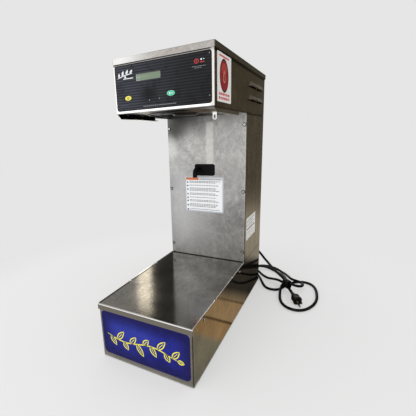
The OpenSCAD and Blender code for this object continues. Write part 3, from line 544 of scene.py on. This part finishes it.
# Overlay: black film with paler ridges across, bluish and dull at the left, black edge
RIDGE = 0.0059
overlay = Skin("overlay_film", tone(40, 42, 46), 0.42, Specular_IOR_Level=0.14)
height = one_axis(overlay.tree, overlay.where, "Z")
wave = overlay.math("SINE", overlay.math("MULTIPLY", height, 2 * math.pi / RIDGE))
ridges = overlay.ramp(overlay.math("MULTIPLY_ADD", wave, 0.5, 0.5), (0.25, 0.0), (0.85, 1.0))
smudge = overlay.noise((34, 34, 26), detail=5, rough=0.7, distortion=1.0)
left = overlay.area(0.13, X=(-0.5, -0.02))
low_tone = overlay.mix(left, tone(10, 10, 12), tone(40, 42, 49))
high_tone = overlay.mix(left, tone(29, 30, 33), tone(66, 70, 79))
overlay.color(overlay.mix(ridges, low_tone, high_tone))
overlay.paint(overlay.ramp(smudge, (0.52, 0.0), (0.70, 1.0)), tone(10, 11, 13), 0.55)
overlay.spot(tone(8, 8, 10), 0.85, (-0.032, -0.172, 0.632), (0.034, 0.02, 0.028), 0.1)
inside = overlay.area(0.0012, X=(-0.1222, 0.1194), Z=(0.6024, 0.6996))
overlay.paint(overlay.math("SUBTRACT", 1.0, inside), tone(9, 9, 10), 0.95)
overlay.rough(overlay.ramp(smudge, (0.35, 0.36), (0.7, 0.55)))
overlay.bump(ridges, 0.00012, 0.5)
dress(overlay, "control_overlay")

# Blue plate: cloudy, brightest above the middle, darker round its edge
plate = Skin("blue_plate", tone(32, 38, 132), 0.28, Specular_IOR_Level=0.3)
cloud = plate.noise((16, 14, 22), detail=5, rough=0.65, distortion=0.8)
plate.color(plate.mix(plate.ramp(cloud, (0.35, 0.0), (0.75, 1.0)), tone(13, 17, 112),
                      tone(32, 42, 148)))
plate.spot(tone(50, 64, 170), 0.65, (-0.03, -0.3055, 0.093), (0.13, 0.5, 0.052), 0.0)
inside = plate.area(0.019, X=(-0.100, 0.100), Z=(0.037, 0.111))
plate.paint(plate.math("SUBTRACT", 1.0, inside), tone(15, 14, 76), 0.85)
plate.rough(plate.ramp(cloud, (0.3, 0.20), (0.8, 0.40)))
plate.bump(cloud, 0.0004, 0.15)
dress(plate, "front_plate")


# ---------------------------------------------------------------- meshes
def loft(mesh, rings, closed=False):
    """Faces from each ring of points to the next, with capped ends unless it closes."""
    rows = [[mesh.verts.new(p) for p in points] for points in rings]
    pairs = list(zip(rows, rows[1:])) + ([(rows[-1], rows[0])] if closed else [])
    for one, two in pairs:
        for i in range(len(one)):
            j = (i + 1) % len(one)
            mesh.faces.new((one[i], one[j], two[j], two[i]))
    if not closed:
        mesh.faces.new(rows[0][::-1])
        mesh.faces.new(rows[-1])


def finished(name, mesh, skin, body=BODY, rounded=False):
    """Makes a piece of a bmesh, smooth except at its caps where rounded."""
    bmesh.ops.recalc_face_normals(mesh, faces=mesh.faces)
    for face in mesh.faces:
        face.smooth = rounded and len(face.verts) == 4
    data = bpy.data.meshes.new(name)
    mesh.to_mesh(data)
    mesh.free()
    data.materials.append(skin.mat)
    made = link(name, data)
    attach(made, body)
    return made


# ---------------------------------------------------------------- printed marks
def front_of(y):
    """Places a drawing on a face that looks forward, at y from the base's front."""
    return lambda a, b, out: at(a, y - out, b)


def side_of(x):
    """Places a drawing on a face that looks to the right, at x from the middle."""
    return lambda a, b, out: at(x + out, a, b)


# Steps along a disc, a ring and a leaf's edge, and the width of a leaf's line
DISC_STEPS, RING_STEPS, LEAF_STEPS = 32, 40, 14
LEAF_LINE = 2.5
# The faces that are drawn on
PLATE_FACE = front_of(-0.6)
FILM_FACE = front_of(132.4)
KEY_FACE = front_of(131.6)
DISPLAY_FACE = front_of(132.6)
CARD_FACE = front_of(381.4)
SIDE_FACE = side_of(127.6)


def drawing(name, strips, onto, skin, thick=0.15, body=BODY):
    """Flat raised marks. Each strip is a list of pairs of points, one pair per cross line."""
    mesh = bmesh.new()
    for strip in strips:
        loft(mesh, [[onto(*p, out) for p, out in ((a, 0), (b, 0), (b, thick), (a, thick))]
                    for a, b in strip])
    finished(name, mesh, skin, body)


def ink(name, tint, rough=0.4):
    return plain(name, tint, rough, dusty=0.02)


def stroke(points, width, taper=0.35):
    """A strip along a line, thinner towards its ends."""
    points = [Vector(p) for p in points]
    strip = []
    last = len(points) - 1
    for i, p in enumerate(points):
        way = points[min(i + 1, last)] - points[max(i - 1, 0)]
        across = Vector((-way.y, way.x)).normalized()
        share = min(i, last - i) / max(last / 5, 1)
        half = width / 2 * (taper + (1 - taper) * min(share, 1))
        strip.append((tuple(p + across * half), tuple(p - across * half)))
    return strip


def bar(x0, z0, x1, z1):
    return [((x0, z0), (x0, z1)), ((x1, z0), (x1, z1))]


def box_line(x0, z0, x1, z1, width):
    """The four sides of an oblong."""
    return [bar(x0, z0, x1, z0 + width), bar(x0, z1 - width, x1, z1),
            bar(x0, z0, x0 + width, z1), bar(x1 - width, z0, x1, z1)]


def disc(x, z, rx, rz):
    """An ellipse cut into upright strips."""
    strip = []
    for i in range(DISC_STEPS + 1):
        a = math.pi * (0.002 + 0.996 * i / DISC_STEPS)
        strip.append(((x - rx * math.cos(a), z - rz * math.sin(a)),
                      (x - rx * math.cos(a), z + rz * math.sin(a))))
    return strip


def ring(x, z, rx, rz, width, start=0, stop=360):
    """A line of even width round an ellipse, or from one angle to another."""
    turns = [math.radians(start + (stop - start) * i / RING_STEPS)
             for i in range(RING_STEPS + 1)]
    return stroke([(x + rx * math.cos(a), z + rz * math.sin(a)) for a in turns], width, 1.0)


def dashes(x0, x1, z, thick, long, gap):
    """A row of short plain bars of uneven length."""
    out = []
    x, k = x0, 0
    while x < x1:
        size = long * (0.55 + 0.45 * abs(math.sin(k * 2.3 + z)))
        out.append(bar(x, z, min(x + size, x1), z + thick))
        x += size + gap
        k += 1
    return out


def turned(x, z, turn_deg):
    """Places what is given along and across a direction from x, z."""
    c, s = math.cos(math.radians(turn_deg)), math.sin(math.radians(turn_deg))
    return lambda u, v: (x + u * c - v * s, z + u * s + v * c)


def leaf(x, z, turn_deg, length, width):
    """A leaf's outline and vein from its foot at x, z."""
    put_at = turned(x, z, turn_deg)
    lines = []
    for side in (1, -1):
        edge = [put_at(length * i / LEAF_STEPS,
                       side * width / 2 * math.sin(math.pi * (i / LEAF_STEPS) ** 0.8))
                for i in range(LEAF_STEPS + 1)]
        lines.append(stroke(edge, LEAF_LINE))
    vein = [put_at(length * 0.12 * k, 0) for k in range(1, 7)]
    lines.append(stroke(vein, LEAF_LINE * 0.6))
    return lines


def solid_leaf(x, z, turn_deg, length, width):
    """A filled leaf from its foot at x, z."""
    put_at = turned(x, z, turn_deg)
    strip = []
    for i in range(13):
        half = width / 2 * math.sin(math.pi * (0.03 + 0.94 * i / 12))
        strip.append((put_at(length * i / 12, half), put_at(length * i / 12, -half)))
    return strip


white_ink = ink("white_ink", tone(226, 228, 230))
grey_ink = ink("grey_ink", tone(138, 141, 146))
red_ink = ink("red_ink", tone(196, 30, 44))
dark_ink = ink("dark_ink", tone(34, 32, 30))


# Base's plate: a leaf sprig on a waving stem
def stem_z(x):
    return 61 + 7 * math.sin(x / 26 + 0.6) - 0.03 * x


stem = [(x, stem_z(x)) for x in range(-106, 90, 3)]
sprig = [stroke(stem, 2.8)]
for k, x in enumerate(range(-95, 85, 19)):
    sprig += leaf(x, stem_z(x), 50 if k % 2 else -58, 28 + 6 * math.sin(k * 2.1), 12)
sprig += leaf(*stem[-1], -8, 17, 9)
drawing("front_sprig", sprig, PLATE_FACE, ink("yellow_ink", tone(246, 238, 62)))

# Overlay: leaves on a stem over a bar, ruled rows, a ring with a bar, and dots
mark = [stroke([(-117 + 44 * t / 12, 668 + 7 * math.sin(t / 12 * 1.7)) for t in range(13)], 2.0)]
for foot_x, foot_z, turn_deg, length, width in (
        (-113, 669.5, 78, 10, 5.2), (-103, 672, 70, 12, 6.0), (-92, 674, 60, 12, 6.0),
        (-81, 675, 48, 11, 5.4), (-97, 672, -48, 9, 4.6)):
    mark.append(solid_leaf(foot_x, foot_z, turn_deg, length, width))
mark.append(bar(-100, 664.6, -72, 666.6))
drawing("overlay_leaf_mark", mark, FILM_FACE, white_ink)
drawing("overlay_ruled_marks", dashes(-48, 39, 600.4, 1.3, 4.6, 1.3)
        + [disc(116.8, 689.6, 1.1, 1.1), disc(116.6, 609.8, 1.1, 1.1)]
        + dashes(78, 108, 667.6, 0.9, 4.2, 1.1) + dashes(84, 100, 664.6, 0.9, 3.2, 1.1),
        FILM_FACE, grey_ink)
drawing("overlay_faint_marks", dashes(-113, -91, 606.6, 1.0, 3.4, 1.5), FILM_FACE,
        ink("faint_ink", tone(86, 90, 98)))
drawing("overlay_red_mark", [ring(88, 678, 4.6, 3.8, 1.5), disc(88, 678, 1.3, 1.3),
                             bar(96, 674.6, 106, 676.0)], FILM_FACE, red_ink)
drawing("overlay_white_dots", [disc(99, 680.4, 1.9, 1.7), disc(104.5, 680.4, 1.1, 1.1)],
        FILM_FACE, white_ink)

# Keys' rims and signs
KEY_INK = 0.12
x, z = -89.4, 622.5
drawing("yellow_key_rim", [ring(x, z, 8.2, 4.3, 0.6)], KEY_FACE,
        ink("pale_yellow", tone(250, 246, 150)), KEY_INK, "on_off_key")
drawing("yellow_key_sign", [ring(x, z - 0.2, 2.6, 2.1, 0.9, 120, 420),
                            bar(x - 0.5, z, x + 0.5, z + 3.0)],
        KEY_FACE, dark_ink, KEY_INK, "on_off_key")
x, z = 25.9, 622.9
drawing("green_key_rim", [ring(x, z, 9.2, 4.8, 0.6)], KEY_FACE,
        ink("pale_green", tone(150, 226, 200)), KEY_INK, "brew_key")
drawing("green_key_sign", [disc(x - 2.6, z, 1.9, 2.3), bar(x + 0.8, z - 0.7, x + 5.2, z + 0.7)],
        KEY_FACE, white_ink, KEY_INK, "brew_key")

# Display: two rows of sixteen cells
CELL_STEP, CELL_W, CELL_H = 3.8, 2.9, 4.9
cells = []
for k in range(16):
    x = -61.6 + CELL_STEP * k
    cells += [bar(x, z, x + CELL_W, z + CELL_H) for z in (658.9, 665.6)]
drawing("display_cells", cells, DISPLAY_FACE, ink("cell_grey", tone(104, 122, 100), 0.3),
        0.04)
drawing("display_rim", box_line(-64.6, 656.8, 1.6, 672.6, 0.8), DISPLAY_FACE, dark_ink,
        0.06)

# Column's card: white field, plain colour strip, dots and ruled rows
CARD_X0, CARD_X1 = -65.6, 56.2
STRIP_Z, CARD_Z = 396.2, 403.6
drawing("card_field", [bar(CARD_X0, 298.6, CARD_X1, CARD_Z)], CARD_FACE,
        ink("card_white", tone(250, 251, 254)), 0.06)
drawing("card_strip", [bar(CARD_X0, STRIP_Z, -22, CARD_Z)], CARD_FACE,
        ink("orange_ink", tone(214, 108, 40)), 0.12)
drawing("card_strip_grey", [bar(-21, STRIP_Z, CARD_X1, CARD_Z)], CARD_FACE,
        ink("strip_grey", tone(212, 214, 217)), 0.12)
rows, dots = [], []
z = 391.5
for k, count in enumerate((2, 1, 3, 2, 1, 2, 3, 1)):
    dots.append(disc(-60.5, z - 1.4 * count + 0.4, 2.7, 2.7))
    for i in range(count):
        end = 50 - 17 * abs(math.sin(k * 2.7 + i * 1.9))
        rows += dashes(-54, end, z - 3.9 * i, 1.8, 8.0, 1.4)
    z -= 3.9 * count + 5.0
drawing("card_rows", rows, CARD_FACE, ink("row_grey", tone(96, 98, 102)), 0.12)
drawing("card_dots", dots, CARD_FACE, ink("dot_grey", tone(64, 66, 70)), 0.12)
drawing("card_strip_rows", dashes(-16, 50, 398.6, 2.2, 6.0, 1.6), CARD_FACE, grey_ink,
        0.2)

# Plate low on the column's side: plain ruled form
form = box_line(401, 211.5, 503, 275.6, 0.9)
for k, z in enumerate((268, 262.5, 255, 249.5)):
    form += dashes(407, 494 - 23 * (k % 2), z, 2.0, 11, 2.2)
form += [bar(405, 240, 499, 243.8), bar(452, 213, 453.2, 236)]
for z in (231.5, 225.5, 219.5):
    form += dashes(407, 446, z, 1.5, 8, 2.4) + dashes(458, 492, z, 1.5, 6, 2.4)
drawing("side_form", form, SIDE_FACE, dark_ink, 0.1)

# Plate on the head's side: red disc with a drop in a dark ring, plain red bars
BADGE_Y = 191
drawing("badge_ring", [disc(BADGE_Y, 653, 28.5, 34)], SIDE_FACE, dark_ink, 0.08)
drawing("badge_field", [disc(BADGE_Y, 653, 25.0, 30.4)], SIDE_FACE,
        ink("badge_red", tone(150, 8, 24)), 0.14)
drawing("badge_shade", [disc(BADGE_Y, 667, 17, 11)], SIDE_FACE,
        ink("badge_coral", tone(172, 52, 44)), 0.18)
drop = [(BADGE_Y + 8.5 * math.sin(a) * math.sin(a / 2) ** 1.4, 652 + 12 * math.cos(a))
        for a in [2 * math.pi * i / RING_STEPS for i in range(RING_STEPS + 1)]]
drawing("badge_drop", [stroke(drop, 2.0, 1.0)], SIDE_FACE,
        ink("badge_cream", tone(196, 160, 128)), 0.22)
bars = [bar(160, 688.5, 222, 692.0)]
for z in (612.5, 604.0):
    bars += dashes(157, 227, z, 5.2, 11, 2.4)
drawing("badge_bars", bars, SIDE_FACE, ink("bar_red", tone(206, 92, 96)), 0.1)

# ---------------------------------------------------------------- moulded pieces on the cord
UP = Vector((0, 0, 1))
SECTION_STEPS = 40
PLUG_TURN = math.radians(-63)
TIE_AT, TIE_TURN = (235.5, 536.4, 28.1), math.radians(-41)
TIE_FROM, TIE_LONG, TIE_TURNS, TIE_RINGS = -11, 24, 4, 48


def section(center, side, half_side, half_up, power):
    """Points of an upright rounded oblong that is rounder the lower its power."""
    out = []
    for i in range(SECTION_STEPS):
        a = 2 * math.pi * i / SECTION_STEPS
        c, s = math.cos(a), math.sin(a)
        out.append(center + side * (half_side * MM * math.copysign(abs(c) ** (2 / power), c))
                   + UP * (half_up * MM * math.copysign(abs(s) ** (2 / power), s)))
    return out


def moulded(name, rings, skin, closed=False):
    mesh = bmesh.new()
    loft(mesh, rings, closed)
    return finished(name, mesh, skin, rounded=True)


# Plug, as (distance, radius, power): four grooves, a neck, and a squarer grip
plug_along = Vector((math.cos(PLUG_TURN), math.sin(PLUG_TURN), 0))
plug_side = UP.cross(plug_along)
profile = [(0.2, 4.9, 2)]
for k in range(4):
    ridge, groove, start = 6.1 + 0.35 * k, 5.1 + 0.5 * k, 3.2 * k
    profile += [(1.2 + start, ridge, 2.0), (2.6 + start, ridge, 2.0),
                (3.0 + start, groove, 2.0), (3.9 + start, groove, 2.0)]
profile += [(16.5, 9.2, 2.2), (19, 11.4, 2.5), (22.5, 12.6, 2.9), (27, 12.2, 3.2),
            (31, 11.6, 3.3), (35, 11.6, 3.3), (38, 12.3, 3.3), (40, 12.9, 3.4),
            (46.6, 12.9, 3.4), (47.6, 12.4, 3.2), (48.0, 11.6, 3.0)]
plug = moulded("moulded_plug", [section(floor_point(HANK[-1]) + plug_along * (s * MM),
                                        plug_side, r, r, p) for s, r, p in profile],
               black_plastic)
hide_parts("plug_body")

# Tie: four swellings round the strands, and a plain inner face back to the start
tie_along = Vector((math.cos(TIE_TURN), math.sin(TIE_TURN), 0))
tie_side = UP.cross(tie_along)


def tie_ring(i, half_side, half_up):
    u = TIE_FROM + TIE_LONG * i / TIE_RINGS
    return section(floor_point(TIE_AT) + tie_along * (u * MM), tie_side, half_side, half_up, 3.2)


rings = []
for i in range(TIE_RINGS + 1):
    swell = abs(math.sin(math.pi * i / TIE_RINGS * TIE_TURNS)) ** 0.6
    rings.append(tie_ring(i, 9.4 + 0.9 * swell, 14.2 + 0.8 * swell))
rings += [tie_ring(i, 8.1, 13.2) for i in range(TIE_RINGS, -1, -6)]
tie = moulded("wound_tie", rings, black_rubber, closed=True)
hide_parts("cord_tie")

# Strain relief, as (distance, radius): shank, flange, and six tapering ribs
profile = [(-40.9, 8.0), (-34.2, 8.0), (-34.0, 11.9), (-31.0, 11.9), (-29.6, 10.6)]
for k in range(6):
    start = -28.2 + 4.4 * k
    profile += [(start, 9.9 - 0.65 * k), (start + 2.0, 9.8 - 0.65 * k),
                (start + 2.4, 8.4 - 0.5 * k), (start + 3.6, 8.4 - 0.5 * k)]
profile += [(-1.0, 5.6), (-0.2, 5.0)]
relief = moulded("ribbed_relief", [section(floor_point(ROUTE[0]) + Vector((0, s * MM, 0)),
                                           Vector((1, 0, 0)), r, r, 2) for s, r in profile],
                 black_rubber)
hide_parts("strain_relief")

# ---------------------------------------------------------------- floor, backdrop and light
PALE = 0.790
FLOOR = 0.835
FLOOR_HALF = 9.0
FADE_FROM, FADE_TO = 0.50, 1.0
EVEN_SHARE = 0.5
WORLD_LIGHT = 0.90


def emission(tree, tint, strength=1.0):
    glow = new_node(tree, "Emission")
    put(tree, glow.inputs[0], tint)
    glow.inputs[1].default_value = strength
    return glow.outputs[0]


def mix_shader(tree, factor, a, b):
    made = new_node(tree, "MixShader")
    for socket, value in zip(made.inputs, (factor, a, b)):
        put(tree, socket, value)
    return made.outputs[0]


def floor_tree(tree):
    """Pale matt floor that fades to the backdrop's even tone away from the object."""
    matt = new_node(tree, "BsdfDiffuse")
    put(tree, matt.inputs[0], (FLOOR, FLOOR, FLOOR))
    where = new_node(tree, "TexCoord").outputs["Object"]
    fade = map_range(tree, distance(tree, where), FADE_FROM, FADE_TO)
    seen = new_node(tree, "LightPath").outputs["Is Camera Ray"]
    share = math_node(tree, "MAXIMUM", fade, math_node(tree, "MULTIPLY", seen, EVEN_SHARE))
    return mix_shader(tree, share, matt.outputs[0], emission(tree, (PALE, PALE, PALE)))


def even_glow(tint, strength=1.0):
    return lambda tree: emission(tree, tint, strength)


def glow_along_y(stops):
    """Emission whose colour runs along y, through (place, colour) stops."""
    low, high = stops[0][0], stops[-1][0]

    def build(tree):
        where = new_node(tree, "TexCoord").outputs["Object"]
        span = map_range(tree, one_axis(tree, where, "Y"), low, high, form="LINEAR")
        return emission(tree, color_ramp(tree, span, [((place - low) / (high - low), tint)
                                                      for place, tint in stops]))
    return build


def quad(name, corners, build):
    """A flat sheet that isn't part of the object."""
    mat = bpy.data.materials.new(name)
    mat.use_nodes = True
    tree = mat.node_tree
    tree.nodes.clear()
    put(tree, new_node(tree, "OutputMaterial").inputs[0], build(tree))
    mesh = bpy.data.meshes.new(name)
    mesh.from_pydata(corners, [], [tuple(range(len(corners)))])
    mesh.materials.append(mat)
    made = link(name, mesh)
    return made


quad("floor", [(-FLOOR_HALF, -FLOOR_HALF, 0), (FLOOR_HALF, -FLOOR_HALF, 0),
               (FLOOR_HALF, FLOOR_HALF, 0), (-FLOOR_HALF, FLOOR_HALF, 0)], floor_tree)

# World: the backdrop's tone to the camera and in reflections, plain light for the rest
world = bpy.data.worlds.new("studio")
bpy.context.scene.world = world
world.use_nodes = True
tree = world.node_tree
tree.nodes.clear()
shown = new_node(tree, "Background")
put(tree, shown.inputs[0], (PALE, PALE, PALE))
lit = new_node(tree, "Background")
put(tree, lit.inputs[0], (1, 1, 1))
lit.inputs[1].default_value = WORLD_LIGHT
path = new_node(tree, "LightPath").outputs
seen = math_node(tree, "MAXIMUM", path["Is Camera Ray"], path["Is Glossy Ray"])
seen = math_node(tree, "MAXIMUM", seen, path["Is Transmission Ray"])
put(tree, new_node(tree, "OutputWorld").inputs[0],
    mix_shader(tree, seen, lit.outputs[0], shown.outputs[0]))


def lamp(name, place, aim, size, power):
    data = bpy.data.lights.new(name, "AREA")
    data.shape = "RECTANGLE"
    data.size, data.size_y = size
    data.energy = power
    made = link(name, data)
    made.location = place
    made.rotation_euler = (Vector(aim) - Vector(place)).to_track_quat("-Z", "Y").to_euler()


lamp("over", (-0.4, -0.7, 2.9), (0, 0, 0), (2.4, 2.4), 9)
lamp("front", (-0.9, -3.0, 1.3), (0, 0, 0.4), (3.4, 2.6), 30)

# Cards that only reflections see: the room behind, a plank floor and a bright window
FAR_Y = 2.4
ROOM_TOP, WINDOW_TOP = 3.4, 2.12
PLANKS_Z, FRONT_CARD_Z = 0.0014, 0.0012
SEAM = (0.06, 0.035, 0.018)
PLANKS = [(-0.45, (0.40, 0.39, 0.35)), (-0.335, (0.32, 0.31, 0.27)),
          (-0.31, (0.21, 0.20, 0.155)), (-0.14, (0.25, 0.225, 0.165)),
          (-0.11, (0.40, 0.26, 0.13)), (-0.045, (0.38, 0.24, 0.115)), (-0.038, SEAM),
          (-0.030, (0.40, 0.27, 0.145)), (0.075, (0.36, 0.24, 0.125)), (0.082, SEAM),
          (0.090, (0.29, 0.21, 0.12)), (0.125, (0.17, 0.13, 0.085)),
          (0.17, (0.04, 0.035, 0.027)), (0.42, (0.06, 0.05, 0.04)), (0.52, (0.46, 0.42, 0.34)),
          (1.1, (0.52, 0.47, 0.38)), (1.7, (0.20, 0.17, 0.13)), (FAR_Y, (0.10, 0.085, 0.06))]
# Upright edges far behind, as x at the floor and x gained per metre of height
LEFT_END, WINDOW_LEFT = (-6.0, 0.0), (-1.868, -0.081)
WINDOW_RIGHT, DOOR_END = (-1.68, -0.065), (-1.15, -0.03)


def card(name, corners, build):
    """A sheet that only reflections see."""
    made = quad(name, corners, build)
    made.visible_camera = False
    made.visible_diffuse = False
    made.visible_shadow = False
    made.visible_transmission = False
    made.visible_volume_scatter = False


def floor_card(name, x0, y0, x1, y1, z, build):
    card(name, [(x0, y0, z), (x1, y0, z), (x1, y1, z), (x0, y1, z)], build)


def back_strip(name, left_edge, right_edge, low_z, high_z, tint, strength=1.0):
    """An upright sheet far behind, between two slightly leaning edges."""
    card(name, [(x + lean * z, FAR_Y, z) for (x, lean), z in
                ((left_edge, low_z), (right_edge, low_z), (right_edge, high_z),
                 (left_edge, high_z))], even_glow(tint, strength))


back_strip("card_back_right", (0.25, 0), (4.5, 0), 0, 3.0, (0.095, 0.080, 0.055))
floor_card("card_floor_right", 0.1285, PLANKS[0][0], 3.5, FAR_Y, PLANKS_Z,
           glow_along_y(PLANKS))
floor_card("card_floor_front", -1.2, -0.62, 0.20, -0.309, FRONT_CARD_Z,
           even_glow((0.34, 0.32, 0.28)))
back_strip("card_far_left", LEFT_END, WINDOW_LEFT, 0, ROOM_TOP, (0.72, 0.71, 0.69))
back_strip("card_window", WINDOW_LEFT, WINDOW_RIGHT, 0, WINDOW_TOP, (1.0, 0.92, 0.77), 3.7)
back_strip("card_over_window", WINDOW_LEFT, WINDOW_RIGHT, WINDOW_TOP, ROOM_TOP,
           (0.30, 0.28, 0.25))
back_strip("card_door_edge", WINDOW_RIGHT, DOOR_END, 0, ROOM_TOP, (0.085, 0.082, 0.078))

bpy.context.scene.view_settings.view_transform = "Standard"
